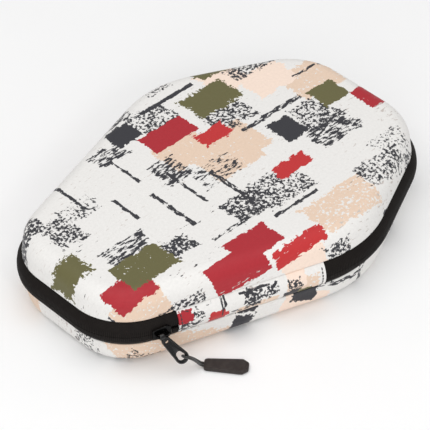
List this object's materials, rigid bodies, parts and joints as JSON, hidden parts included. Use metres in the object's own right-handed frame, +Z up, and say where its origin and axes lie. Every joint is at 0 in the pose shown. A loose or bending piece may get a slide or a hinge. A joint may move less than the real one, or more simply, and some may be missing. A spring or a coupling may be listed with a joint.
{
  "type": "paddle case",
  "caption": "Moulded hard case for a table-tennis bat: six-sided rounded shells, zip round the rim, creased fabric spine, pull tab with cord and grip.",
  "frame": {"origin": "middle of the base's flat underside, half way along the case and on its long centre line", "axes": "+X along the case from the handle end to the head end, +Z up from the base to the lid, the spine on the -Y side"},
  "size_m": [0.3, 0.2217, 0.0616],
  "materials": {
    "printed_skin": "satin printed cloth bonded to a moulded foam shell",
    "lining_cloth": "matt knitted lining",
    "zip_tape": "woven tape with a slight sheen",
    "zip_coil": "black nylon coil",
    "binding_tape": "woven binding tape",
    "elastic": "knitted elastic",
    "pocket_mesh": "open knitted mesh",
    "black_metal": "gloss black plated zinc",
    "cord_yarn": "thin braided cord",
    "grip_rubber": "moulded matt rubber"
  },
  "bodies": {
    "base": {"base_shell": "printed_skin", "base_lining": "lining_cloth", "base_binding": "binding_tape", "lower_zip_tape": "zip_tape", "lower_zip_coil": "zip_coil", "lower_zip_stop": "black_metal", "zip_end_stop": "black_metal", "handle_strap": "elastic"},
    "spine": {"spine_strip": "printed_skin", "spine_lining": "lining_cloth"},
    "lid": {"lid_shell": "printed_skin", "lid_lining": "lining_cloth", "lid_binding": "binding_tape", "upper_zip_tape": "zip_tape", "upper_zip_coil": "zip_coil", "upper_zip_stop": "black_metal", "mesh_pocket": "pocket_mesh", "mesh_pocket_band": "elastic"},
    "slider": {"slider_body": "black_metal", "slider_bridge": "black_metal"},
    "tab": {"pull_tab": "black_metal"},
    "pull": {"pull_cord": "cord_yarn", "pull_grip": "grip_rubber"}
  },
  "joints": [
    {"name": "spine_fold", "type": "hinge", "parent": "base", "child": "spine", "pos_m": [-0.04894, -0.08431, 0.02085], "axis": [0.95, -0.3124, 0], "range_deg": [0, 90]},
    {"name": "lid_fold", "type": "hinge", "parent": "spine", "child": "lid", "pos_m": [-0.04894, -0.08431, 0.04075], "axis": [0.95, -0.3124, 0], "range_deg": [0, 90], "deforming": ["upper_zip_tape", "upper_zip_coil"]},
    {"name": "slider_travel", "type": "hinge", "parent": "base", "child": "slider", "pos_m": [-0.102, -0.02076, 0.0308], "axis": [0, 0, -1], "range_deg": [0, 70], "deforming": ["lower_zip_tape", "lower_zip_coil"]},
    {"name": "tab_swing", "type": "hinge", "parent": "slider", "child": "tab", "pos_m": [-0.11695, -0.07121, 0.0308], "axis": [-0.95, 0.3124, 0], "range_deg": [-20, 105]},
    {"name": "pull_swing", "type": "hinge", "parent": "tab", "child": "pull", "pos_m": [-0.10672, -0.08265, 0.01331], "axis": [-0.95, 0.3124, 0], "range_deg": [-10, 45], "deforming": ["pull_cord"]}
  ],
  "couplings": [
    {"joint": "spine_fold", "follows": "lid_fold", "ratio": 1},
    {"joint": "slider_travel", "follows": "lid_fold", "ratio": 0.777}
  ]
}
